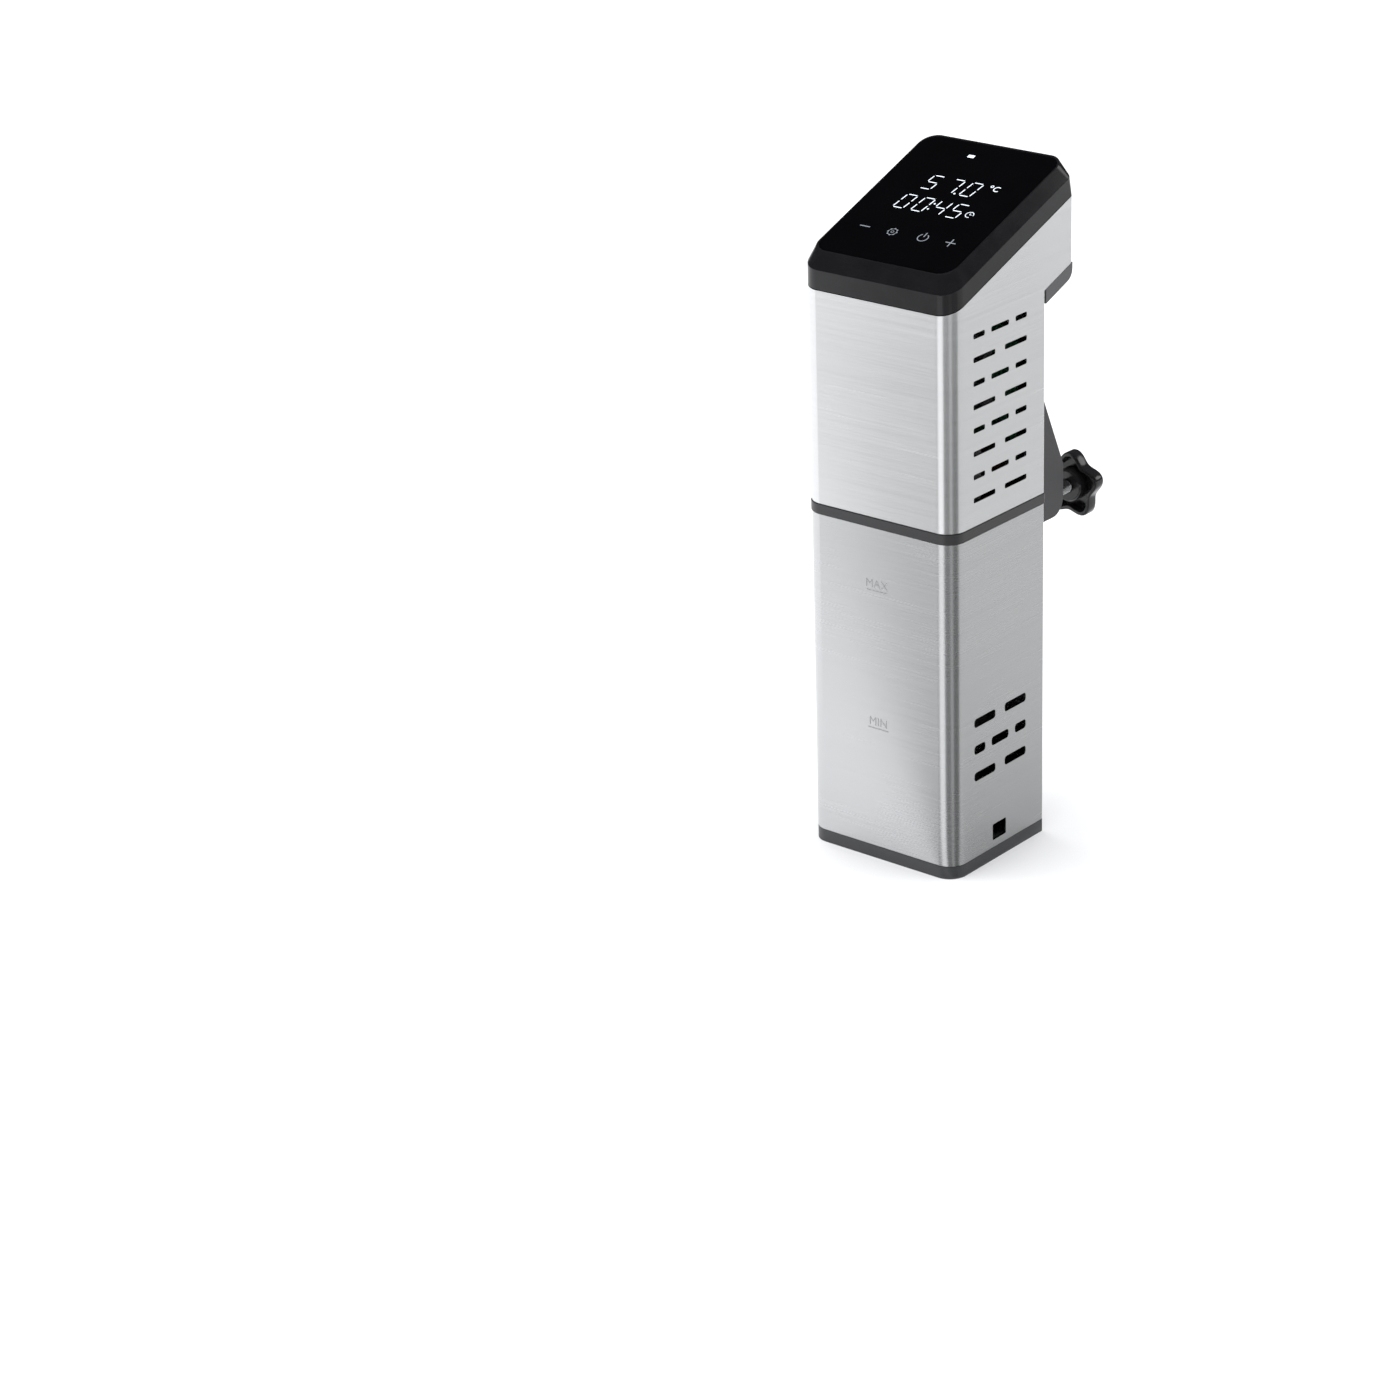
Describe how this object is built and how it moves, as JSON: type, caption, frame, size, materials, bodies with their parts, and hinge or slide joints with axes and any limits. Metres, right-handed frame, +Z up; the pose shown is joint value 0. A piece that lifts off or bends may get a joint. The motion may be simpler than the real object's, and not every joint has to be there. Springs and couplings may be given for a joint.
{
  "type": "sous vide circulator",
  "caption": "Upright immersion circulator: steel head with sloped touch display, vented steel sleeve over heater and pump, and a rear screw clamp for a pot rim.",
  "frame": {"origin": "middle of the foot's underside, which the circulator stands on", "axes": "+Z up, +Y back towards the pot's wall and the clamp, +X to the right seen from the display's front"},
  "size_m": [0.1028, 0.1914, 0.3905],
  "materials": {
    "brushed_steel": "brushed along the horizontal",
    "bright_steel": "bright",
    "dark_plastic": "satin",
    "black_plastic": "gloss",
    "black_glass": "black backed glass, gloss",
    "cast_metal": "satin casting",
    "brass": "machined",
    "rubber": "matt",
    "board": "solder mask",
    "ceramic": "unglazed",
    "copper": "enamelled windings"
  },
  "bodies": {
    "main": {"upper_housing": "brushed_steel", "rear_cover": "brushed_steel", "motor_can": "brushed_steel", "deck_plate": "bright_steel", "cover_screw_1": "bright_steel", "cover_screw_2": "bright_steel", "cover_screw_3": "bright_steel", "cover_screw_4": "bright_steel", "bracket_screw_1": "bright_steel", "bracket_screw_2": "bright_steel", "bracket_screw_3": "bright_steel", "bracket_screw_4": "bright_steel", "pump_stem": "bright_steel", "heater_element": "bright_steel", "temperature_probe": "bright_steel", "level_rod_low": "bright_steel", "level_rod_high": "bright_steel", "head_underplate": "dark_plastic", "display_module": "dark_plastic", "buzzer": "dark_plastic", "cord_inlet": "dark_plastic", "pump_cover": "dark_plastic", "relay": "dark_plastic", "display_bezel": "black_plastic", "capacitor": "black_plastic", "touch_glass": "black_glass", "clamp_bracket": "cast_metal", "motor_stool": "cast_metal", "heat_sink": "cast_metal", "clamp_nut": "brass", "band_gasket": "rubber", "shaft_seal": "rubber", "control_board": "board", "power_board": "board", "touch_panel": "ceramic", "stem_bushing": "ceramic", "heater_gland_1": "ceramic", "heater_gland_2": "ceramic", "transformer": "copper"},
    "sleeve": {"lower_sleeve": "brushed_steel", "foot_plate": "dark_plastic", "foot_screw_1": "bright_steel", "foot_screw_2": "bright_steel", "foot_screw_3": "bright_steel", "foot_screw_4": "bright_steel"},
    "drive": {"pump_shaft": "bright_steel", "motor_armature": "copper", "pump_impeller": "dark_plastic", "cooling_fan": "dark_plastic"},
    "pad": {"pad_face": "rubber", "pad_disc": "cast_metal"},
    "knob": {"clamp_screw": "bright_steel", "star_knob": "black_plastic", "knob_cap": "dark_plastic"}
  },
  "joints": [
    {"name": "sleeve_pull_off", "type": "slide", "parent": "main", "child": "sleeve", "axis": [0, 0, -1], "range_m": [0, 0.2]},
    {"name": "drive_spin", "type": "hinge", "parent": "main", "child": "drive", "pos_m": [0, 0, 0.2], "axis": [0, 0, 1], "continuous": true},
    {"name": "clamp_travel", "type": "slide", "parent": "main", "child": "pad", "axis": [0, -1, 0], "range_m": [-0.023, 0.0184]},
    {"name": "clamp_knob_turn", "type": "hinge", "parent": "pad", "child": "knob", "pos_m": [0, 0.14, 0.171], "axis": [0, -1, 0], "range_deg": [-6630, 5305]}
  ],
  "couplings": [
    {"joint": "clamp_knob_turn", "follows": "clamp_travel", "rad_per_m": 5026.5}
  ]
}
